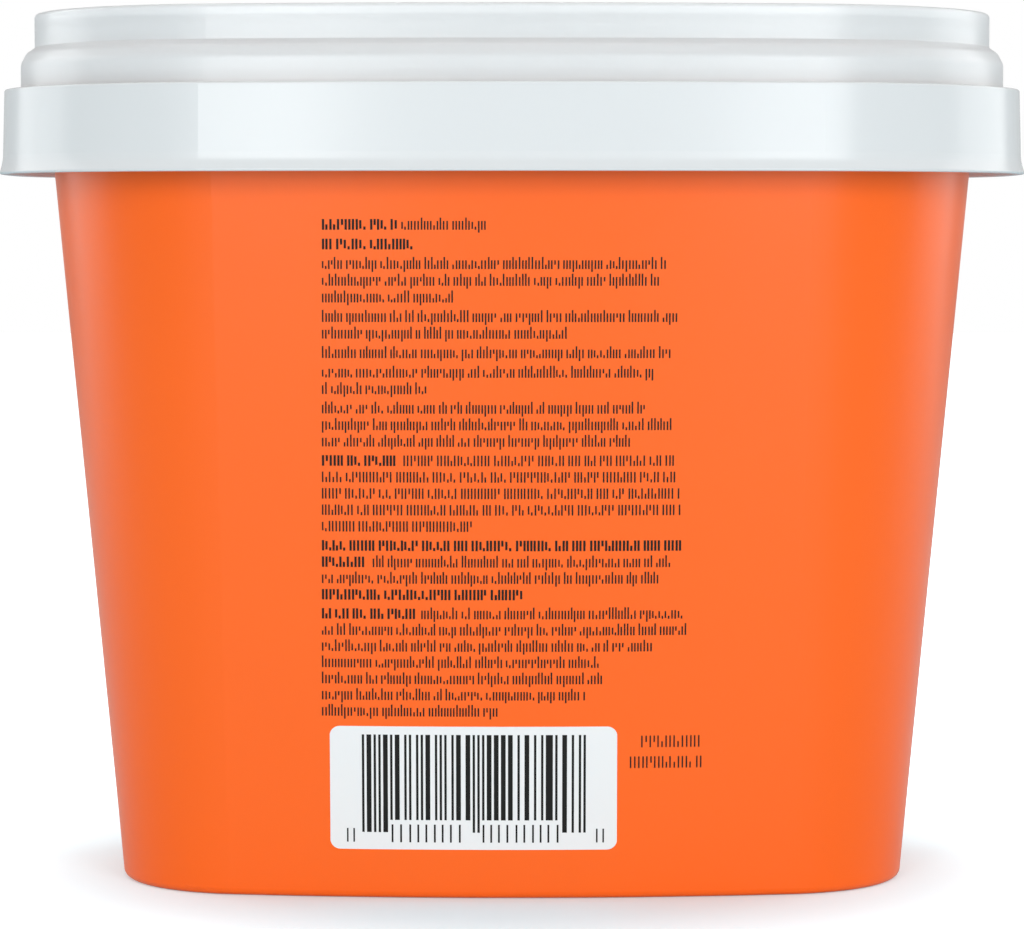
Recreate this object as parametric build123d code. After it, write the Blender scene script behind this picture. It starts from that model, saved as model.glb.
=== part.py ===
from build123d import *
import os
from math import atan2, cos, degrees, radians, sin, tan

# Dishwasher tablet tub: a tapered oval tub, a collar ring clipped over the rim, a press-on lid
# and the soluble sachets inside. Millimetres, +Z up, origin at the middle of the base, printed
# face to -Y.
#
# Every piece follows one plan outline of eight tangent arcs: a slightly bulged front, back and
# two sides, joined by four corners. A piece's section is written as (offset, height, rounding)
# points, where offset is how far a point stands outside the outline of the tub's base.

# Plan outline of the base
BASE_HALF_WIDTH = 57.8
BASE_HALF_DEPTH = 29.3
CORNER_RADIUS = 20.0
FRONT_BULGE_RADIUS = 265.0
SIDE_BULGE_RADIUS = 120.0

# Tub
TUB_HEIGHT = 112.6
DRAFT_DEG = 5.3
TUB_WALL = 1.3
FLOOR_THICKNESS = 1.4
FOOT_RING_WIDTH = 2.5
BASE_RECESS = 0.8
BASE_EDGE_RADIUS = 1.2
FLOOR_FILLET = 2.0
RIM_BEAD_OUT = 1.0
RIM_BEAD_HEIGHT = 1.5

# Collar ring
COLLAR_WALL = 1.3
COLLAR_HEIGHT = 12.3
COLLAR_ABOVE_RIM = 3.4
COLLAR_DRAFT_OUT = 0.3
FLARE_OUT = 0.65
FLARE_HEIGHT = 1.6
FLARE_BLEND_RADIUS = 6.0
COLLAR_LEG = 1.1
CHANNEL_TOP = 1.2
PLUG_DEPTH = 3.8
DECK_THICKNESS = 1.2
DECK_BELOW_RIM = 4.2
CLIP_BEAD_OUT = 1.0
CLIP_BEAD_HEIGHT = 1.4
GUSSET_THICKNESS = 1.0
GUSSET_HEIGHT = 2.4
GUSSET_PITCH = 24.0

# Lid
LID_WALL = 1.2
LID_TOP_ABOVE_RIM = 14.4
LID_STEP_IN = 2.05
LID_SHOULDER_TOP = 6.1
LID_SHOULDER_HEIGHT = 2.4
LID_SHOULDER_ROUNDING = 2.0
LID_BREAK_IN = 0.8
LID_BREAK_DROP = 0.85
LID_BREAK_ROUNDING = 1.6
LID_PANEL_RECESS = 1.6
LID_PANEL_THICKNESS = 1.3
LID_TOP_ROUNDING = 0.55
LID_STEP_DROP = 2.7
LID_INNER_CHAMFER = 1.7
LIP = 5.0

# Sachets
SACHET_CORNER = 8.0
SACHET_EDGE = 4.0
SACHET_ROWS = 2
SACHET_COLUMNS = 3
PACKED_LAYERS = 4
HEADSPACE = 16.9
CORNER_FIT_DEG = 70.0
LOOSE_TURNS = (0.9, -0.7, -1.0, -1.0, 0.8, 0.95)
TOP_SACHETS = ((-0.84, -0.08, 58.0), (0.53, 0.04, -28.0))

# Clearances
CLIP_GAP = 0.3
LID_FIT_GAP = 0.4
LID_SIDE_GAP = 1.1
LID_REST_GAP = 0.3
SACHET_GAP = 0.5
SACHET_WALL_GAP = 0.5

# Sharp and soft moulded edges
SHARP = 0.0
MOULD_EDGE = 0.3
ROOT_FILLET = 0.5

# Sizes worked out from the ones above
DRAFT = tan(radians(DRAFT_DEG))
COLLAR_TOP = TUB_HEIGHT + COLLAR_ABOVE_RIM
COLLAR_BOTTOM = COLLAR_TOP - COLLAR_HEIGHT
CHANNEL_UNDERSIDE = TUB_HEIGHT + CLIP_GAP
CHANNEL_OUTER = DRAFT * TUB_HEIGHT + RIM_BEAD_OUT + CLIP_GAP
DECK_TOP = TUB_HEIGHT - DECK_BELOW_RIM
LID_INNER = CHANNEL_OUTER + COLLAR_LEG + LID_FIT_GAP
LID_OUTER = LID_INNER + LID_WALL
COLLAR_INNER = LID_OUTER + LID_SIDE_GAP
COLLAR_OUTER = COLLAR_INNER + COLLAR_WALL
LID_TIER = LID_OUTER - LID_STEP_IN
LID_BOTTOM = DECK_TOP + LID_REST_GAP
LID_TOP = TUB_HEIGHT + LID_TOP_ABOVE_RIM
FLOOR_TOP = BASE_RECESS + FLOOR_THICKNESS
SACHET_LAYERS = PACKED_LAYERS + 2  # a looser layer and a small heap lie on the packed ones


def wall_offset(height):
    """Offset of the tub's outer wall at a height."""
    return DRAFT * height


def corner_centre():
    """Centre of the right front corner: where it touches the front and the side inwardly."""
    front_y = FRONT_BULGE_RADIUS - BASE_HALF_DEPTH
    side_x = BASE_HALF_WIDTH - SIDE_BULGE_RADIUS
    to_front = FRONT_BULGE_RADIUS - CORNER_RADIUS
    to_side = SIDE_BULGE_RADIUS - CORNER_RADIUS
    apart = (side_x**2 + front_y**2) ** 0.5
    along = (to_front**2 - to_side**2 + apart**2) / (2 * apart)
    across = (to_front**2 - along**2) ** 0.5
    unit_x, unit_y = side_x / apart, -front_y / apart
    return Vector(along * unit_x - across * unit_y, front_y + along * unit_y + across * unit_x)


def outline_arcs():
    """The eight arcs as (centre, radius, start angle, sweep), anticlockwise from the front."""
    corner = corner_centre()
    front_y = FRONT_BULGE_RADIUS - BASE_HALF_DEPTH
    side_x = BASE_HALF_WIDTH - SIDE_BULGE_RADIUS
    front_half = degrees(atan2(corner.X, front_y - corner.Y))
    side_half = degrees(atan2(-corner.Y, corner.X - side_x))
    corner_sweep = 90 - front_half - side_half
    arcs = []
    for turn in (0, 180):
        flip = cos(radians(turn))
        first_corner = (corner.X * flip, corner.Y * flip)
        second_corner = (corner.X * flip, -corner.Y * flip)
        front = (0, front_y * flip)
        side = (side_x * flip, 0)
        arcs += [
            (front, FRONT_BULGE_RADIUS, turn - 90 - front_half, 2 * front_half),
            (first_corner, CORNER_RADIUS, turn - 90 + front_half, corner_sweep),
            (side, SIDE_BULGE_RADIUS, turn - side_half, 2 * side_half),
            (second_corner, CORNER_RADIUS, turn + side_half, corner_sweep),
        ]
    return arcs


def outline_face(offset):
    """The plan outline, moved outwards by an offset, as a flat face."""
    edges = [
        CenterArc(centre, radius + offset, start, sweep)
        for centre, radius, start, sweep in outline_arcs()
    ]
    return make_face(edges)


def plate(offset, low, high):
    """A flat plate that fills the outline between two heights."""
    return Pos(0, 0, low) * extrude(outline_face(offset), amount=high - low)


def ring(section):
    """A section of (offset, height, rounding) points, turned round every arc of the outline."""
    whole = Part()
    for (x, y), radius, start, sweep in outline_arcs():
        points = [(radius + offset, height) for offset, height, _ in section]
        roundings = [rounding for _, _, rounding in section]
        profile = make_face(FilletPolyline(points, radius=roundings, close=True))
        sector = revolve(Plane.XZ * profile, axis=Axis.Z, revolution_arc=sweep)
        whole += Pos(x, y, 0) * Rot(0, 0, start) * sector
    return whole


def tub_body():
    """Drafted wall on a foot ring, with a bead round the rim for the collar to clip over."""
    bead_low = TUB_HEIGHT - RIM_BEAD_HEIGHT
    bead_out = wall_offset(TUB_HEIGHT) + RIM_BEAD_OUT
    floor_lip = -FOOT_RING_WIDTH - LIP
    wall = ring([
        (-FOOT_RING_WIDTH, 0, MOULD_EDGE),
        (0, 0, BASE_EDGE_RADIUS),
        (wall_offset(bead_low), bead_low, MOULD_EDGE),
        (bead_out, bead_low, MOULD_EDGE),
        (bead_out, TUB_HEIGHT, ROOT_FILLET),
        (wall_offset(TUB_HEIGHT) - TUB_WALL, TUB_HEIGHT, ROOT_FILLET),
        (wall_offset(FLOOR_TOP) - TUB_WALL, FLOOR_TOP, FLOOR_FILLET),
        (floor_lip, FLOOR_TOP, SHARP),
        (floor_lip, BASE_RECESS, SHARP),
        (-FOOT_RING_WIDTH, BASE_RECESS, MOULD_EDGE),
    ])
    floor = plate(floor_lip + LIP / 2, BASE_RECESS, FLOOR_TOP)
    return wall + floor


def gussets():
    """Small webs under the deck, between the collar's outer leg and its skirt."""
    inner = CHANNEL_OUTER + COLLAR_LEG / 2
    outer = COLLAR_INNER + COLLAR_WALL / 2
    middle_height = DECK_TOP - DECK_THICKNESS - GUSSET_HEIGHT / 2 + ROOT_FILLET
    webs = []
    for (x, y), radius, start, sweep in outline_arcs():
        length = radians(sweep) * (radius + outer)
        count = max(1, round(length / GUSSET_PITCH))
        for index in range(count):
            angle = start + sweep * (index + 0.5) / count
            place = Pos(x, y, middle_height) * Rot(0, 0, angle)
            web = Box(outer - inner, GUSSET_THICKNESS, GUSSET_HEIGHT)
            webs.append(place * Pos(radius + (inner + outer) / 2, 0, 0) * web)
    return webs


def collar_ring():
    """Outer skirt, deck and the channel that sits over the tub's rim, as one moulding."""
    foot_outer = COLLAR_OUTER + COLLAR_DRAFT_OUT
    flare_top = COLLAR_BOTTOM + FLARE_HEIGHT
    deck_low = DECK_TOP - DECK_THICKNESS
    channel_top = CHANNEL_UNDERSIDE + CHANNEL_TOP
    plug_low = CHANNEL_UNDERSIDE - PLUG_DEPTH
    plug_outer = wall_offset(plug_low) - TUB_WALL - CLIP_GAP
    bead_high = TUB_HEIGHT - RIM_BEAD_HEIGHT - CLIP_GAP
    bead_low = bead_high - CLIP_BEAD_HEIGHT
    bead_tip = CHANNEL_OUTER - CLIP_BEAD_OUT
    section = ring([
        (foot_outer + FLARE_OUT, COLLAR_BOTTOM, MOULD_EDGE),
        (foot_outer, flare_top, FLARE_BLEND_RADIUS),
        (COLLAR_OUTER, COLLAR_TOP, MOULD_EDGE),
        (COLLAR_INNER, COLLAR_TOP, MOULD_EDGE),
        (COLLAR_INNER, DECK_TOP, ROOT_FILLET),
        (CHANNEL_OUTER + COLLAR_LEG, DECK_TOP, ROOT_FILLET),
        (CHANNEL_OUTER + COLLAR_LEG, channel_top, ROOT_FILLET),
        (plug_outer - COLLAR_LEG, channel_top, ROOT_FILLET),
        (plug_outer - COLLAR_LEG, plug_low, MOULD_EDGE),
        (plug_outer, plug_low, MOULD_EDGE),
        (plug_outer, CHANNEL_UNDERSIDE, SHARP),
        (CHANNEL_OUTER, CHANNEL_UNDERSIDE, SHARP),
        (CHANNEL_OUTER, bead_high, SHARP),
        (bead_tip, (bead_high + bead_low) / 2 + MOULD_EDGE, MOULD_EDGE),
        (CHANNEL_OUTER, bead_low, SHARP),
        (CHANNEL_OUTER, deck_low, SHARP),
        (COLLAR_INNER, deck_low, ROOT_FILLET),
        (foot_outer - COLLAR_WALL, flare_top, FLARE_BLEND_RADIUS),
        (foot_outer + FLARE_OUT - COLLAR_WALL, COLLAR_BOTTOM, MOULD_EDGE),
    ])
    for web in gussets():
        section += web
    return section


def lid():
    """Skirt inside the collar, a rounded shoulder, the upper tier and a recessed top panel."""
    shoulder_high = COLLAR_TOP + LID_SHOULDER_TOP
    shoulder_low = shoulder_high - LID_SHOULDER_HEIGHT
    inner_tier = LID_TIER - LID_WALL
    inner_step = shoulder_high - LID_STEP_DROP
    panel_top = LID_TOP - LID_PANEL_RECESS
    panel_low = panel_top - LID_PANEL_THICKNESS
    shell = ring([
        (LID_INNER, LID_BOTTOM, MOULD_EDGE),
        (LID_OUTER, LID_BOTTOM, MOULD_EDGE),
        (LID_OUTER, shoulder_low, LID_SHOULDER_ROUNDING),
        (LID_OUTER - LID_BREAK_IN, shoulder_high - LID_BREAK_DROP, LID_BREAK_ROUNDING),
        (LID_TIER, shoulder_high, MOULD_EDGE / 2),
        (LID_TIER, LID_TOP, LID_TOP_ROUNDING),
        (inner_tier, LID_TOP, MOULD_EDGE),
        (inner_tier, panel_top, MOULD_EDGE),
        (inner_tier - LIP, panel_top, SHARP),
        (inner_tier - LIP, panel_low, SHARP),
        (inner_tier, panel_low, ROOT_FILLET),
        (inner_tier, inner_step, ROOT_FILLET),
        (LID_INNER, inner_step - LID_INNER_CHAMFER, ROOT_FILLET),
    ])
    return shell + plate(inner_tier - LIP / 2, panel_low, panel_top)


def sachet_size():
    """A sachet's length, width and height, so that whole rows and layers fill the tub."""
    corner = corner_centre()
    inner_corner = CORNER_RADIUS + wall_offset(FLOOR_TOP) - TUB_WALL - SACHET_WALL_GAP
    reach = inner_corner - SACHET_CORNER
    half_x = corner.X + reach * cos(radians(CORNER_FIT_DEG)) + SACHET_CORNER
    half_y = -corner.Y + reach * sin(radians(CORNER_FIT_DEG)) + SACHET_CORNER
    length = (2 * half_x - (SACHET_COLUMNS - 1) * SACHET_GAP) / SACHET_COLUMNS
    width = (2 * half_y - (SACHET_ROWS - 1) * SACHET_GAP) / SACHET_ROWS
    height = (TUB_HEIGHT - FLOOR_TOP - HEADSPACE) / SACHET_LAYERS - SACHET_GAP
    return length, width, height


def sachet():
    """One filled film sachet: a plump rounded block, its middle at the origin."""
    block = Box(*sachet_size())
    block = fillet(block.edges().filter_by(Axis.Z), SACHET_CORNER)
    return fillet(block.faces().filter_by(Axis.Z).edges(), SACHET_EDGE)


def sachet_places():
    """Where each sachet lies: packed layers, a looser turned layer, and two on the heap."""
    length, width, height = sachet_size()
    rise = height + SACHET_GAP
    lowest = FLOOR_TOP + SACHET_GAP + height / 2
    places = []
    for layer in range(PACKED_LAYERS + 1):
        growth = DRAFT * layer * rise
        pitch_x = length + SACHET_GAP + 2 * growth / SACHET_COLUMNS
        pitch_y = width + SACHET_GAP + 2 * growth / SACHET_ROWS
        most_turn = degrees(growth / length) if layer == PACKED_LAYERS else 0
        for row in range(SACHET_ROWS):
            for column in range(SACHET_COLUMNS):
                x = (column - (SACHET_COLUMNS - 1) / 2) * pitch_x
                y = (row - (SACHET_ROWS - 1) / 2) * pitch_y
                turn = most_turn * LOOSE_TURNS[(row * SACHET_COLUMNS + column) % len(LOOSE_TURNS)]
                places.append(Pos(x, y, lowest + layer * rise) * Rot(0, 0, turn))
    for share_x, share_y, turn in TOP_SACHETS:
        top = Pos(share_x * length, share_y * width, lowest + (SACHET_LAYERS - 1) * rise)
        places.append(top * Rot(0, 0, turn))
    return places


os.makedirs("parts", exist_ok=True)
export_step(tub_body(), "parts/tub_body.step")
export_step(collar_ring(), "parts/collar_ring.step")
export_step(lid(), "parts/lid.step")
one_sachet = sachet()
for number, place in enumerate(sachet_places(), start=1):
    export_step(place * one_sachet, f"parts/sachet_{number:02d}.step")
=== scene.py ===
# %% [markdown]
# # A dishwasher tablet tub
# The construction is already there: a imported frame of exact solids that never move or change
# here. This lesson gives it its looks. We load the frame, make the plastics, lay the print on
# the wall, fill the tub with soft sachets, and light it all on a plain pale floor.

# %% Load the frame
import math
import random

import bmesh
import bpy
from mathutils import Matrix, Vector, geometry, noise
from mathutils.bvhtree import BVHTree


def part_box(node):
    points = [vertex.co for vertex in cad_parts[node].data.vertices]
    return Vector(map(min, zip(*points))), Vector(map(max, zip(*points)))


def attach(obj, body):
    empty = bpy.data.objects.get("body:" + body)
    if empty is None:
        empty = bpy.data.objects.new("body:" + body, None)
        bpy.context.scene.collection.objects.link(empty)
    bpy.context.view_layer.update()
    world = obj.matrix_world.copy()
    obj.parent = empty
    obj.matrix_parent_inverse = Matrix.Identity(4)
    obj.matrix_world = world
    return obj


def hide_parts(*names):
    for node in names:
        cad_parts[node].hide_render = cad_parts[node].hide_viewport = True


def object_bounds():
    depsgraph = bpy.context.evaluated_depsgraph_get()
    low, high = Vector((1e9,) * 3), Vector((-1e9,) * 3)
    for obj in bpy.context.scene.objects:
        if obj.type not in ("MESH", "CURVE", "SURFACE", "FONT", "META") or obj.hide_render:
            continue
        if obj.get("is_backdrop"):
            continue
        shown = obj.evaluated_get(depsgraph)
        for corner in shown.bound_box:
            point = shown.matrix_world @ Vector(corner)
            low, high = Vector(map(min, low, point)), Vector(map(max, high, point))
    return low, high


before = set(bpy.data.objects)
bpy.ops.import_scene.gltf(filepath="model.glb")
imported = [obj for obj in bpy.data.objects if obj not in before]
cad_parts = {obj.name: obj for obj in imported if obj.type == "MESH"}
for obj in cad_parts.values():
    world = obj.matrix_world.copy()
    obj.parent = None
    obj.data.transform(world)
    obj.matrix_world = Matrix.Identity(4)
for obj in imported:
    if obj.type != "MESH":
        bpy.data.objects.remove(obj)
cad_low, cad_high = (Vector(corner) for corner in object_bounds())
MM = 0.001
print("frame loaded:", len(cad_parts), "nodes, height", round(cad_high.z / MM, 1), "mm")

# %% [markdown]
# ## Measures read from the frame
# Every place comes from the solids themselves. The tub's wall is found by shooting a ray at its
# mesh, so print follows the slope and the bulge of the wall without any copied numbers. A
# shrinkwrap modifier could do the same, but a ray gives each corner its exact place at once.

# %% The wall
tub_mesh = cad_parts["tub_body"].data
wall_tree = BVHTree.FromPolygons(
    [vertex.co.copy() for vertex in tub_mesh.vertices],
    [tuple(polygon.vertices) for polygon in tub_mesh.polygons],
)


def wall_y(x, z):
    """The y of the tub's printed wall at a point, seen from the front."""
    hit = wall_tree.ray_cast(Vector((x, -1, z)), Vector((0, 1, 0)))[0]
    return hit.y


print("wall at mid height:", round(wall_y(0, cad_high.z / 2) / MM, 2), "mm from the middle")

# %% [markdown]
# ## One shared effect: the moulded skin
# Injection moulded plastic is never one flat colour. The tool leaves a fine grain, the resin
# mottles a little, and handling leaves soft patches of more or less gloss. That is one effect with
# different amounts on each piece, so it is a node group, built once, with named inputs.

# %% Small node helpers
def link(tree, source, target):
    tree.links.new(source, target)


def add_node(tree, kind, x, y, **settings):
    node = tree.nodes.new(kind)
    node.location = (x, y)
    for name, value in settings.items():
        setattr(node, name, value)
    return node


FLOAT, COLOUR = "NodeSocketFloat", "NodeSocketColor"
SKIN_OUTPUTS = [("Base Color", COLOUR), ("Roughness", FLOAT), ("Height", FLOAT)]


def new_group(name, inputs):
    """A shader node group with named sockets; returns its tree, entry and exit nodes."""
    tree = bpy.data.node_groups.new(name, "ShaderNodeTree")
    for label, kind, value in inputs:
        socket = tree.interface.new_socket(name=label, in_out="INPUT", socket_type=kind)
        socket.default_value = value
    for label, kind in SKIN_OUTPUTS:
        tree.interface.new_socket(name=label, in_out="OUTPUT", socket_type=kind)
    entry = add_node(tree, "NodeGroupInput", -900, 0)
    leave = add_node(tree, "NodeGroupOutput", 700, 0)
    return tree, entry, leave


def scaled_noise(tree, coordinates, scale, detail, x, y):
    texture = add_node(tree, "ShaderNodeTexNoise", x, y)
    texture.inputs["Detail"].default_value = detail
    link(tree, coordinates, texture.inputs["Vector"])
    link(tree, scale, texture.inputs["Scale"])
    return texture.outputs["Fac"]


def blend_colours(tree, factor, first, second, x, y):
    mix = add_node(tree, "ShaderNodeMix", x, y, data_type="RGBA")
    link(tree, factor, mix.inputs["Factor"])
    link(tree, first, mix.inputs["A"])
    link(tree, second, mix.inputs["B"])
    return mix.outputs["Result"]


def drifting(tree, factor, spread, middle, x, y):
    """A value that drifts about its middle as the factor drifts about a half."""
    centred = add_node(tree, "ShaderNodeMath", x - 200, y, operation="SUBTRACT")
    centred.inputs[1].default_value = 0.5
    link(tree, factor, centred.inputs[0])
    drift = add_node(tree, "ShaderNodeMath", x, y, operation="MULTIPLY_ADD")
    link(tree, centred.outputs["Value"], drift.inputs[0])
    link(tree, spread, drift.inputs[1])
    link(tree, middle, drift.inputs[2])
    return drift.outputs["Value"]


print("a skin gives out:", ", ".join(label for label, _ in SKIN_OUTPUTS))


# %% The moulded skin group
def moulded_skin_group():
    tree, entry, leave = new_group("moulded skin", [
        ("Colour", COLOUR, (0.8, 0.8, 0.8, 1)),
        ("Shade Colour", COLOUR, (0.7, 0.7, 0.7, 1)),
        ("Mottle Scale", FLOAT, 30),
        ("Grain Scale", FLOAT, 2500),
        ("Roughness", FLOAT, 0.3),
        ("Roughness Spread", FLOAT, 0.06),
    ])
    sockets = entry.outputs
    place = add_node(tree, "ShaderNodeTexCoord", -900, -300).outputs["Object"]
    mottle = scaled_noise(tree, place, sockets["Mottle Scale"], 3, -600, 200)
    grain = scaled_noise(tree, place, sockets["Grain Scale"], 2, -600, -200)
    colour = blend_colours(tree, mottle, sockets["Colour"], sockets["Shade Colour"], 0, 200)
    gloss = drifting(tree, mottle, sockets["Roughness Spread"], sockets["Roughness"], 0, -50)
    link(tree, colour, leave.inputs["Base Color"])
    link(tree, gloss, leave.inputs["Roughness"])
    link(tree, grain, leave.inputs["Height"])
    return tree


moulded_skin = moulded_skin_group()
print("made the group", moulded_skin.name)

# %% [markdown]
# ## A material from the group
# The group hands out colour, roughness and height only. The Principled shader stays in each
# material, and what is the same all over a surface, such as transmission, is set on its socket.

# %% Material helper
RELIEF_DEPTH = 0.1 * MM


def skin_material(name, group, values, bump, constants):
    """A material whose Principled shader is fed by a group with the given input values."""
    material = bpy.data.materials.new(name)
    material.use_nodes = True
    tree = material.node_tree
    shader = tree.nodes["Principled BSDF"]
    skin = add_node(tree, "ShaderNodeGroup", -600, 0, node_tree=group)
    for label, value in values.items():
        skin.inputs[label].default_value = value
    relief = add_node(tree, "ShaderNodeBump", -250, -250)
    relief.inputs["Strength"].default_value = bump
    relief.inputs["Distance"].default_value = RELIEF_DEPTH
    link(tree, skin.outputs["Base Color"], shader.inputs["Base Color"])
    link(tree, skin.outputs["Roughness"], shader.inputs["Roughness"])
    link(tree, skin.outputs["Height"], relief.inputs["Height"])
    link(tree, relief.outputs["Normal"], shader.inputs["Normal"])
    for label, value in constants.items():
        shader.inputs[label].default_value = value
    return material


def plastic(name, colour, shade, roughness, grain=2500, bump=0.02, constants=None):
    """A moulded plastic, or an ink: its colour, the shade it mottles to, and its gloss."""
    values = {
        "Colour": (*colour, 1),
        "Shade Colour": (*shade, 1),
        "Grain Scale": grain,
        "Roughness": roughness,
    }
    return skin_material(name, moulded_skin, values, bump, constants or {})


def wear(node_name, material):
    """Give a solid of the frame its finish."""
    for material_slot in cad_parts[node_name].material_slots:
        material_slot.material = material


print("relief is at most", round(RELIEF_DEPTH / MM, 2), "mm deep")

# %% [markdown]
# ## The three plastics
# The tub is dyed polypropylene, a warm orange right through. The collar is the same plastic in
# white. The lid is undyed: polypropylene with no pigment is milky and lets some light through. Pure
# transmission would make it glass, and a plain pale colour would make it paint, so it has a share
# of transmission and a milky colour for the rest.

# %% Tub, collar and lid
orange = plastic(
    "orange polypropylene", (1.0, 0.134, 0.004), (0.97, 0.126, 0.003), 0.31,
    constants={"IOR": 1.42},
)
white = plastic(
    "white polypropylene", (0.69, 0.69, 0.69), (0.675, 0.675, 0.68), 0.22,
    constants={"IOR": 1.4},
)
frosted = plastic(
    "frosted polypropylene", (0.9, 0.9, 0.9), (0.885, 0.885, 0.89), 0.3,
    constants={"Transmission Weight": 0.35, "IOR": 1.49},
)
wear("tub_body", orange)
wear("collar_ring", white)
wear("lid", frosted)
print("three plastics on tub, collar and lid")

# %% [markdown]
# ## Print as thin shapes
# This side of the tub carries small print and a striped code. Print has no thickness to speak of,
# so it could be a mask in the wall's colour. Thin slabs, a few hundredths of a millimetre proud,
# keep their edges sharp at any distance instead. Each slab's corners are dropped onto the wall.

# %% Slabs that follow the wall
INK_PROUD = 0.04 * MM
PANEL_PROUD = 0.02 * MM
INK_DEPTH = 0.06 * MM


def add_slab(mesh, columns, proud):
    """A closed slab from (x, low z, high z) columns in millimetres, laid on the tub's wall."""
    rows = []
    for column in columns:
        x, low, high = (value * MM for value in column)
        corners = []
        for z in (low, high):
            y = wall_y(x, z)
            corners.append(mesh.verts.new((x, y - proud, z)))
            corners.append(mesh.verts.new((x, y + INK_DEPTH, z)))
        rows.append(corners)
    for left, right in zip(rows, rows[1:]):
        front_low, back_low, front_high, back_high = left
        next_front_low, next_back_low, next_front_high, next_back_high = right
        mesh.faces.new((front_low, next_front_low, next_front_high, front_high))
        mesh.faces.new((back_high, next_back_high, next_back_low, back_low))
        mesh.faces.new((front_high, next_front_high, next_back_high, back_high))
        mesh.faces.new((back_low, next_back_low, next_front_low, front_low))
    first, last = rows[0], rows[-1]
    mesh.faces.new((first[0], first[2], first[3], first[1]))
    mesh.faces.new((last[0], last[1], last[3], last[2]))


def add_bar(mesh, left, right, low, high):
    """One upright stroke of ink, its sides given in millimetres."""
    add_slab(mesh, ((left, low, high), (right, low, high)), INK_PROUD)


print("ink stands", round(INK_PROUD / MM, 2), "mm proud of the wall")


# %% From mesh to piece
def piece_from(mesh, name, material, body):
    """Turn a bmesh into a named piece that rides on a body."""
    data = bpy.data.meshes.new(name)
    bmesh.ops.recalc_face_normals(mesh, faces=mesh.faces)
    mesh.to_mesh(data)
    mesh.free()
    piece = bpy.data.objects.new(name, data)
    bpy.context.scene.collection.objects.link(piece)
    data.materials.append(material)
    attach(piece, body)
    print(name, "faces:", len(data.polygons))
    return piece


INK_GRAIN = 4000
ink = plastic(
    "black ink", (0.004, 0.0035, 0.003), (0.007, 0.006, 0.005), 0.5, grain=INK_GRAIN,
    constants={"IOR": 1.3},
)
panel_ink = plastic("white ink", (0.84, 0.84, 0.84), (0.81, 0.81, 0.81), 0.4, grain=INK_GRAIN)
print("made", ink.name, "and", panel_ink.name)

# %% [markdown]
# ## The greeked text
# Printers fill a layout with greeked text before the words exist: marks in the rhythm of writing
# that stand for nothing. Blender's text object would need words and a typeface, and ours must say
# nothing, so it is made of plain upright strokes. A mark has one or two of them, each a share of
# the writing's height, and words are runs of marks picked by a seeded draw.

# %% Marks and styles
X_HEIGHT = 1.22
CAPITAL_HEIGHT = 1.49
SMALL_MARKS = (
    ((0, 1), (0, 1)),
    ((0, 1), (0, 1)),
    ((0, 1), (0.5, 1)),
    ((0, 0.5), (0, 1)),
    ((0.1, 0.9), (0, 0.35)),
    ((0, 1.38), (0, 1)),
    ((-0.33, 1), (0, 1)),
    ((0, 1), (0, 1.38)),
    ((0, 1.38),),
    ((0, 1),),
)
CAPITAL_MARKS = (
    ((0, 1), (0, 1)),
    ((0, 1), (0, 1)),
    ((0, 1), (0.45, 1)),
    ((0, 1), (0, 0.5)),
    ((0.1, 0.9), (0, 0.3)),
    ((0, 1),),
)
# Each style: stroke width, pitch of the strokes, height, marks
STYLES = {
    "plain": (0.21, 0.44, X_HEIGHT, SMALL_MARKS),
    "capitals": (0.21, 0.47, CAPITAL_HEIGHT, CAPITAL_MARKS),
    "bold": (0.31, 0.51, CAPITAL_HEIGHT, CAPITAL_MARKS),
}
WORD_LENGTHS = (2, 2, 3, 4, 5, 5, 6, 7, 8, 10)
PITCH_SPREAD = (0.92, 1.12)
WORD_GAP = 0.8


def add_run(mesh, style, left, base, width, draw):
    """Fill a stretch of one line with words; returns where the next run may start."""
    stroke, pitch, height, marks = STYLES[style]
    right = left + width
    x = left
    while x < right:
        for _ in range(draw.choice(WORD_LENGTHS)):
            for low, high in draw.choice(marks):
                if x + stroke > right:
                    return right + pitch
                add_bar(mesh, x, x + stroke, base + low * height, base + high * height)
                x += pitch * draw.uniform(*PITCH_SPREAD)
        x += pitch * WORD_GAP
    return right + pitch


print("marks:", len(SMALL_MARKS), "small and", len(CAPITAL_MARKS), "capital")

# %% [markdown]
# ## The lines
# Each line is a list of runs, and a run is a style and a width in millimetres. An empty line opens
# a small gap between paragraphs. The block leans out a little towards the foot, because flat
# artwork that is wrapped round a tapered wall does.

# %% Lines of small print
TEXT_LEFT = -26.53
TEXT_LEAN = 0.0076
TEXT_TOP = 96.85
LINE_PITCH = 2.337
PARAGRAPH_GAP = 0.403


def plain(*widths):
    return [[("plain", width)] for width in widths]


def capitals(*widths):
    return [[("capitals", width)] for width in widths]


BREAK = [[]]
LINES = [
    [("bold", 10.6), ("plain", 11.8)], *BREAK,
    [("bold", 12.7)], *BREAK,
    *plain(48.1, 47.4, 18.6), *BREAK,
    *plain(50.0, 34.6), *BREAK,
    *plain(49.2), *BREAK,
    *plain(47.0, 14.8), *BREAK,
    *plain(46.1, 49.4, 43.6), *BREAK,
    [("bold", 11.0), ("capitals", 38.6)], *capitals(50.3, 50.5, 50.8, 21.2), *BREAK,
    [("bold", 51.2)], [("bold", 6.7), ("plain", 42.3)], *plain(47.7), [("bold", 28.9)], *BREAK,
    [("bold", 13.6), ("plain", 37.2)], *plain(51.7, 47.0, 39.6, 39.9, 37.7, 25.2),
]


def add_line(mesh, runs, base, seed):
    """Draw one line of text; its place in the list is the seed, so it never changes."""
    draw = random.Random(seed)
    x = TEXT_LEFT - TEXT_LEAN * (TEXT_TOP - base)
    for style, width in runs:
        x = add_run(mesh, style, x, base, width, draw)


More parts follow.
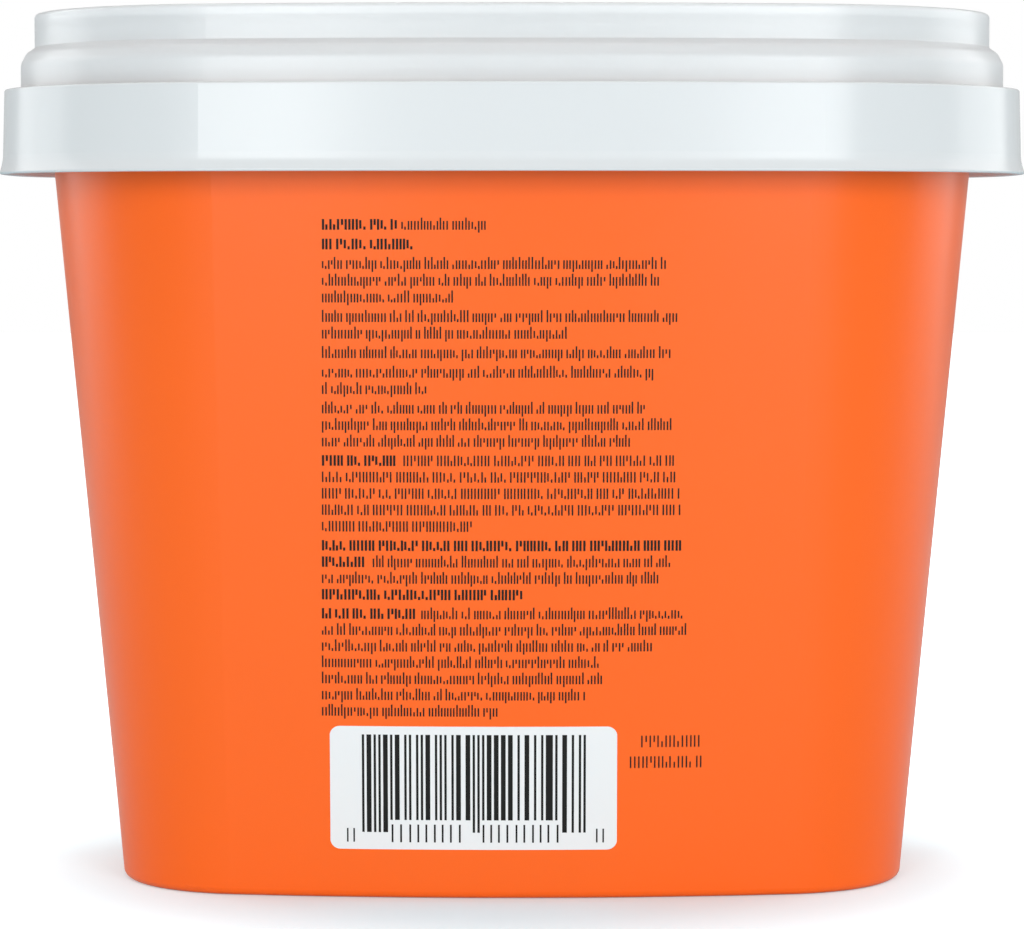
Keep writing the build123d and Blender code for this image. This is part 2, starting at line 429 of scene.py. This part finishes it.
text_mesh = bmesh.new()
line_base = TEXT_TOP - X_HEIGHT
for number, runs in enumerate(LINES):
    if runs:
        add_line(text_mesh, runs, line_base, number)
        line_base -= LINE_PITCH
    else:
        line_base -= PARAGRAPH_GAP
small_print = piece_from(text_mesh, "small_print", ink, "tub")
print("last line stands", round(line_base + LINE_PITCH, 1), "mm above the table")

# %% [markdown]
# ## The striped code
# A white rounded panel keeps the stripes of a pack's code readable. The panel could be a cut in the
# orange, but it is a print too, so it is one slab with round corners, a little less proud than the
# ink. The stripes are drawn at random in whole modules of a third of a millimetre, so they have the
# look of a code and stand for nothing.

# %% White panel
PANEL_LEFT, PANEL_RIGHT = -26.0, 15.0
PANEL_LOW, PANEL_HIGH = 7.2, 25.1
PANEL_CORNER = 1.45
CORNER_STEPS = 8
FLAT_STEPS = 24


def panel_columns():
    """The panel as columns: quarter circles at both ends, and even steps between them."""
    span = PANEL_RIGHT - PANEL_LEFT
    flat = span - 2 * PANEL_CORNER
    corner = []
    for step in range(1, CORNER_STEPS + 1):
        angle = math.pi / 2 * step / CORNER_STEPS
        corner.append((PANEL_CORNER * (1 - math.cos(angle)), PANEL_CORNER * (1 - math.sin(angle))))
    across = list(corner)
    for step in range(1, FLAT_STEPS):
        across.append((PANEL_CORNER + flat * step / FLAT_STEPS, 0))
    across += [(span - x, inset) for x, inset in reversed(corner)]
    return [(PANEL_LEFT + x, PANEL_LOW + inset, PANEL_HIGH - inset) for x, inset in across]


panel_mesh = bmesh.new()
add_slab(panel_mesh, panel_columns(), PANEL_PROUD)
code_panel = piece_from(panel_mesh, "code_panel", panel_ink, "tub")

# %% Stripes
MODULE = 0.336
CODE_LEFT = -21.4
CODE_MODULES = 95
CODE_TOP, CODE_FOOT, GUARD_FOOT = 23.9, 11.5, 9.7
END_GUARD, MIDDLE_GUARD = 10, (45, 51)
CODE_SEED = 7


def in_middle(position):
    return MIDDLE_GUARD[0] <= position < MIDDLE_GUARD[1]


def is_guard(position):
    """The stripes at both ends and in the middle run further down than the rest."""
    at_end = position < END_GUARD or position >= CODE_MODULES - END_GUARD
    return at_end or in_middle(position)


code_mesh = bmesh.new()
draw = random.Random(CODE_SEED)
position = 0
while position < CODE_MODULES:
    bar = 1 if in_middle(position) else draw.choice((1, 1, 1, 2, 2, 3))
    space = draw.choice((1, 1, 2, 2))
    bar = min(bar, CODE_MODULES - position)
    left = CODE_LEFT + position * MODULE
    foot = GUARD_FOOT if is_guard(position) else CODE_FOOT
    add_bar(code_mesh, left, left + bar * MODULE, foot, CODE_TOP)
    position += bar + space
print("stripes drawn:", len(code_mesh.faces) // 6)

# %% [markdown]
# Real codes carry a row of figures under the stripes, and a second small note stands beside the
# panel. Both are greeked like the text, only wider and finer.

# %% Marks under and beside the code
FIGURE_BASE = 8.25
MARKS_SEED = 90
STYLES["figures"] = (0.26, 1.18, 2.6, CAPITAL_MARKS[:1])
STYLES["small figures"] = (0.22, 0.9, 2.0, CAPITAL_MARKS[:1])
STYLES["note"] = (0.2, 0.56, 1.68, CAPITAL_MARKS[:4])
# Each figure run: style, left, width
FIGURES = (
    ("small figures", -23.6, 1.2), ("figures", -17.2, 10.9),
    ("figures", -4.2, 10.9), ("small figures", 12.0, 1.2),
)
# Each note: left, base, width
NOTES = ((18.4, 22.05, 8.8), (16.8, 19.05, 10.4))
draw = random.Random(MARKS_SEED)
for style, left, width in FIGURES:
    add_run(code_mesh, style, left, FIGURE_BASE, width, draw)
stripes = piece_from(code_mesh, "code_stripes", ink, "tub")
note_mesh = bmesh.new()
for left, base, width in NOTES:
    add_run(note_mesh, "note", left, base, width, draw)
side_note = piece_from(note_mesh, "side_note", ink, "tub")

# %% [markdown]
# ## The filling of a sachet
# Each tablet is white powder with blue grains and a band of blue gel, in a clear film that
# dissolves. All of it shows through the film, so it is one skin: a second group mixes powder and
# gel by a large soft noise and scatters grains by a fine one. The film is the shader's coat.

# %% The filling group
GEL_EDGE = (0.53, 0.57)
GRAIN_EDGE = (0.6, 0.66)


def step_mask(tree, value, edge, x, y):
    """0 below the edge's first value, 1 above its second, and a soft step between them."""
    step = add_node(tree, "ShaderNodeMapRange", x, y, interpolation_type="SMOOTHSTEP")
    low, high = edge
    step.inputs["From Min"].default_value = low
    step.inputs["From Max"].default_value = high
    link(tree, value, step.inputs["Value"])
    return step.outputs["Result"]


def filling_group():
    tree, entry, leave = new_group("powder and gel", [
        ("Powder", COLOUR, (0.85, 0.88, 0.92, 1)),
        ("Grain Colour", COLOUR, (0.1, 0.3, 0.75, 1)),
        ("Gel", COLOUR, (0.02, 0.12, 0.55, 1)),
        ("Gel Scale", FLOAT, 45),
        ("Grain Scale", FLOAT, 1100),
        ("Roughness", FLOAT, 0.35),
        ("Roughness Spread", FLOAT, 0.2),
    ])
    sockets = entry.outputs
    place = add_node(tree, "ShaderNodeTexCoord", -900, -300).outputs["Object"]
    swirl = scaled_noise(tree, place, sockets["Gel Scale"], 1, -600, 250)
    grains = scaled_noise(tree, place, sockets["Grain Scale"], 1, -600, -200)
    gel_edge = step_mask(tree, swirl, GEL_EDGE, -300, 250)
    grain_edge = step_mask(tree, grains, GRAIN_EDGE, -300, -100)
    powder = blend_colours(tree, grain_edge, sockets["Powder"], sockets["Grain Colour"], 0, -50)
    colour = blend_colours(tree, gel_edge, powder, sockets["Gel"], 250, 100)
    gloss = drifting(tree, grains, sockets["Roughness Spread"], sockets["Roughness"], 250, -200)
    link(tree, colour, leave.inputs["Base Color"])
    link(tree, gloss, leave.inputs["Roughness"])
    link(tree, grains, leave.inputs["Height"])
    return tree


FILM_COAT = {"Coat Weight": 0.8, "Coat Roughness": 0.06}
filling = skin_material("filled film", filling_group(), {}, 0.2, FILM_COAT)
print("made", filling.name)

# %% [markdown]
# ## The pouches
# A real pouch is two sheets of film sealed round the edge, so it is a pillow: full in the middle,
# pressed to a flat rim at half height. It could be blown up by a cloth simulation, but thirty-two
# pouches would take long. One formula over a grid, creased by noise with a different offset for
# each pouch, looks as soft and stays inside the room that its solid holds.

# %% Pillow
RIM_SHARE = 0.1
RIM_HALF = 0.25 * MM
ROUND, RINGS = 48, 9
PLUMPNESS = 3.2
SQUARENESS = 4
WRINKLES = ((5 * MM, 0.35 * MM), (1.6 * MM, 0.12 * MM))
SMOOTH_NEAR_RIM = 2 * MM
SEED_STEP = (3.1, 1.7)


def pillow_levels(half):
    """Half length, half width and height of each ring, from the top's middle to the bottom's."""
    fill = half * (1 - RIM_SHARE)
    top = []
    for ring in range(RINGS):
        share = math.sin(math.pi / 2 * (ring + 1) / RINGS)
        rise = half.z * math.sqrt(1 - min(1, share) ** PLUMPNESS)
        top.append((fill.x * share, fill.y * share, min(half.z, rise + RIM_HALF)))
    top.append((half.x, half.y, RIM_HALF))
    return top + [(x, y, -z) for x, y, z in reversed(top)]


def rounded_square(angle):
    """A point of a square with soft corners, at an angle."""
    c, s = math.cos(angle), math.sin(angle)
    power = 2 / SQUARENESS
    return math.copysign(abs(c) ** power, c), math.copysign(abs(s) ** power, s)


def creased(point, offset):
    """The point, pressed in a little by the film's wrinkles, and not at all on the rim."""
    lift = 0
    for size, depth in WRINKLES:
        lift += noise.noise(point / size + offset) * depth
    lift *= min(1, abs(point.z) / SMOOTH_NEAR_RIM)
    point.z -= math.copysign(abs(lift), point.z)
    return point


print("a pouch has", 2 * (RINGS + 1), "rings of", ROUND, "points")

# %% A pouch's mesh
def pouch_mesh(size, seed):
    """A pillow with a thin flat rim, closed, centred on the origin."""
    mesh = bmesh.new()
    offset = Vector((seed * SEED_STEP[0], seed * SEED_STEP[1], 0))
    rows = []
    for half_x, half_y, z in pillow_levels(size / 2):
        row = []
        for step in range(ROUND):
            x, y = rounded_square(2 * math.pi * step / ROUND)
            row.append(mesh.verts.new(creased(Vector((half_x * x, half_y * y, z)), offset)))
        rows.append(row)
    for lower, upper in zip(rows, rows[1:]):
        for step in range(ROUND):
            after = (step + 1) % ROUND
            mesh.faces.new((lower[step], lower[after], upper[after], upper[step]))
    for row in (rows[0], rows[-1]):
        tip = mesh.verts.new(sum((vertex.co for vertex in row), Vector()) / ROUND)
        for step in range(ROUND):
            mesh.faces.new((row[step], row[(step + 1) % ROUND], tip))
    return mesh


print("and", ROUND * (2 * RINGS + 3), "faces")

# %% [markdown]
# Each solid lies turned by its own angle. `box_fit_2d` finds the turn that gives the smallest box
# round its outline, and the pouch takes that turn, with its length along the longer side.

# %% One pouch for each solid
def lie_of(node):
    """Middle, size and turn of a sachet's solid."""
    low, high = (Vector(corner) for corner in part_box(node))
    middle = (low + high) / 2
    outline = [(vertex.co - middle).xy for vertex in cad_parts[node].data.vertices]
    turn = -geometry.box_fit_2d(outline)
    turned = [Matrix.Rotation(-turn, 2) @ point for point in outline]
    length = max(p.x for p in turned) - min(p.x for p in turned)
    width = max(p.y for p in turned) - min(p.y for p in turned)
    if width > length:
        length, width, turn = width, length, turn + math.pi / 2
    return middle, Vector((length, width, high.z - low.z)), turn


sachet_nodes = sorted(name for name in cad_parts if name.startswith("sachet_"))
for number, node in enumerate(sachet_nodes, start=1):
    middle, size, turn = lie_of(node)
    mesh = pouch_mesh(size, number)
    mesh.transform(Matrix.Translation(middle) @ Matrix.Rotation(turn, 4, "Z"))
    pouch = piece_from(mesh, f"pouch_{number:02d}", filling, "tub")
    pouch.data.shade_smooth()
    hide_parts(node)
print("pouches:", len(sachet_nodes))

# %% [markdown]
# ## Floor, light and camera
# The tub stands on a plain pale floor. The floor is dull and a little darker than white, so that
# it takes the soft dark line where the base meets it, and a little blue, because the tub throws
# orange light on it. It also glows for the camera alone: only faintly close round the tub, which
# paints extra shade round the foot on top of the real shadow, and fully farther away, so that it
# still meets the white room with no edge.

# %% Floor
FLOOR_SPAN = 6
FLOOR_COLOUR = (0.64, 0.86, 0.94)
# The low glow close to the tub leaves the floor darker there: painted shade round the foot.
PAINTED_SHADE_GLOW = 0.2
FLOOR_NEAR = 0.04
FLOOR_FAR = 0.11


def floor_material():
    """A dull floor whose glow is low near the tub, a painted shade, and grows to full far off."""
    material = bpy.data.materials.new("pale floor")
    material.use_nodes = True
    tree = material.node_tree
    shader = tree.nodes["Principled BSDF"]
    shader.inputs["Base Color"].default_value = (*FLOOR_COLOUR, 1)
    shader.inputs["Roughness"].default_value = 0.7
    shader.inputs["Specular IOR Level"].default_value = 0.2
    shader.inputs["Emission Color"].default_value = (1, 1, 1, 1)
    place = add_node(tree, "ShaderNodeTexCoord", -1200, -500).outputs["Object"]
    away = add_node(tree, "ShaderNodeVectorMath", -1000, -500, operation="LENGTH")
    link(tree, place, away.inputs[0])
    # The glow rises from low near the tub to full far off; the low part is painted shade.
    painted_shade_fade = add_node(tree, "ShaderNodeMapRange", -800, -500, interpolation_type="SMOOTHSTEP")
    painted_shade_fade.inputs["From Min"].default_value = FLOOR_NEAR
    painted_shade_fade.inputs["From Max"].default_value = FLOOR_FAR
    painted_shade_fade.inputs["To Min"].default_value = PAINTED_SHADE_GLOW
    painted_shade_fade.inputs["To Max"].default_value = 1.0
    link(tree, away.outputs["Value"], painted_shade_fade.inputs["Value"])
    paths = add_node(tree, "ShaderNodeLightPath", -800, -200)
    glow = add_node(tree, "ShaderNodeMath", -300, -300, operation="MULTIPLY")
    link(tree, painted_shade_fade.outputs["Result"], glow.inputs[1])
    link(tree, paths.outputs["Is Camera Ray"], glow.inputs[0])
    link(tree, glow.outputs["Value"], shader.inputs["Emission Strength"])
    return material


bpy.ops.mesh.primitive_plane_add(size=FLOOR_SPAN, location=(0, 0, cad_low.z))
floor = bpy.context.object
floor.name = "floor"
floor.data.materials.append(floor_material())
floor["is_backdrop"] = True
print("floor at", round(cad_low.z / MM, 2), "mm")

# %% [markdown]
# A picture of a studio could light the tub, but it would show in the gloss and pull the colours
# about. The room is an even glow instead: full white where the camera looks at it, or through the
# lid at it, a good half of that in reflections, and a quarter of it as a light, so that the lamps
# shape the tub.

# %% Room
ROOM_LEVEL = 0.27
GLOSS_SHARE = 0.42
world = bpy.data.worlds.new("bright room")
bpy.context.scene.world = world
world.use_nodes = True
world_tree = world.node_tree
background = world_tree.nodes["Background"]
background.inputs["Color"].default_value = (1, 1, 1, 1)
paths = add_node(world_tree, "ShaderNodeLightPath", -1200, 0)
glossy = add_node(world_tree, "ShaderNodeMath", -900, -200, operation="MULTIPLY")
link(world_tree, paths.outputs["Is Glossy Ray"], glossy.inputs[0])
glossy.inputs[1].default_value = GLOSS_SHARE
direct = add_node(world_tree, "ShaderNodeMath", -900, 100, operation="MAXIMUM")
link(world_tree, paths.outputs["Is Camera Ray"], direct.inputs[0])
link(world_tree, paths.outputs["Is Transmission Ray"], direct.inputs[1])
seen = add_node(world_tree, "ShaderNodeMath", -600, 0, operation="MAXIMUM")
link(world_tree, direct.outputs["Value"], seen.inputs[0])
link(world_tree, glossy.outputs["Value"], seen.inputs[1])
level = add_node(world_tree, "ShaderNodeMapRange", -300, 0)
level.inputs["To Min"].default_value = ROOM_LEVEL
level.inputs["To Max"].default_value = 1.0
link(world_tree, seen.outputs["Value"], level.inputs["Value"])
link(world_tree, level.outputs["Result"], background.inputs["Strength"])
in_reflections = ROOM_LEVEL + (1 - ROOM_LEVEL) * GLOSS_SHARE
print("room level", ROOM_LEVEL, "and in reflections", round(in_reflections, 2))

# %% [markdown]
# Two upright panels stand in front, left and right of the camera, and give the collar its two
# bright bands. Two more stand behind at the sides and draw pale edges down the corners of the tub.
# A wide one in front, over the camera, lights it all, and one overhead lights the lid.

# %% Lamps
# Each lamp: name, place in metres, width, height, watts
LAMPS = (
    ("left accent", (-0.4, -1.2, 0.3), 0.26, 0.6, 3.1),
    ("right accent", (0.52, -1.1, 0.3), 0.36, 0.6, 4.0),
    ("left side", (-0.9, 0.32, 0.35), 0.7, 0.7, 3.5),
    ("right side", (0.9, 0.32, 0.35), 0.7, 0.7, 3.5),
    ("key", (0, -1.3, 0.4), 1.4, 0.5, 3.9),
    ("overhead", (0, -0.2, 1.3), 1.2, 1.2, 4.2),
)


def panel_light(name, place, width, height, watts):
    """A rectangular lamp that faces the middle of the tub."""
    data = bpy.data.lights.new(name, "AREA")
    data.shape = "RECTANGLE"
    data.size = width
    data.size_y = height
    data.energy = watts
    lamp = bpy.data.objects.new(name, data)
    lamp.location = place
    aim = Vector((0, 0, cad_high.z / 2)) - Vector(place)
    lamp.rotation_euler = aim.to_track_quat("-Z", "Y").to_euler()
    bpy.context.scene.collection.objects.link(lamp)
    print(name, "at", [round(value, 2) for value in place], watts, "W")


for lamp_values in LAMPS:
    panel_light(*lamp_values)

# %% [markdown]
# The camera stands about four tub widths away with a long lens, a little above the sachets, and
# looks slightly down.

# %% Camera
LENS_MM = 135.2
SENSOR_MM = 36
CAMERA_DISTANCE = 0.575
CAMERA_HEIGHT_SHARE = 0.752
CAMERA_DIP_DEG = 3.48
camera_data = bpy.data.cameras.new("camera")
camera_data.lens = LENS_MM
camera_data.sensor_width = SENSOR_MM
camera = bpy.data.objects.new("camera", camera_data)
camera.location = (0, -CAMERA_DISTANCE, cad_high.z * CAMERA_HEIGHT_SHARE)
camera.rotation_euler = (math.radians(90 - CAMERA_DIP_DEG), 0, 0)
bpy.context.scene.collection.objects.link(camera)
bpy.context.scene.camera = camera
bpy.context.scene.view_settings.view_transform = "Standard"
print("camera height", round(camera.location.z / MM, 1), "mm")

# %% [markdown]
# ## The end

# %% Finish
print("finished")
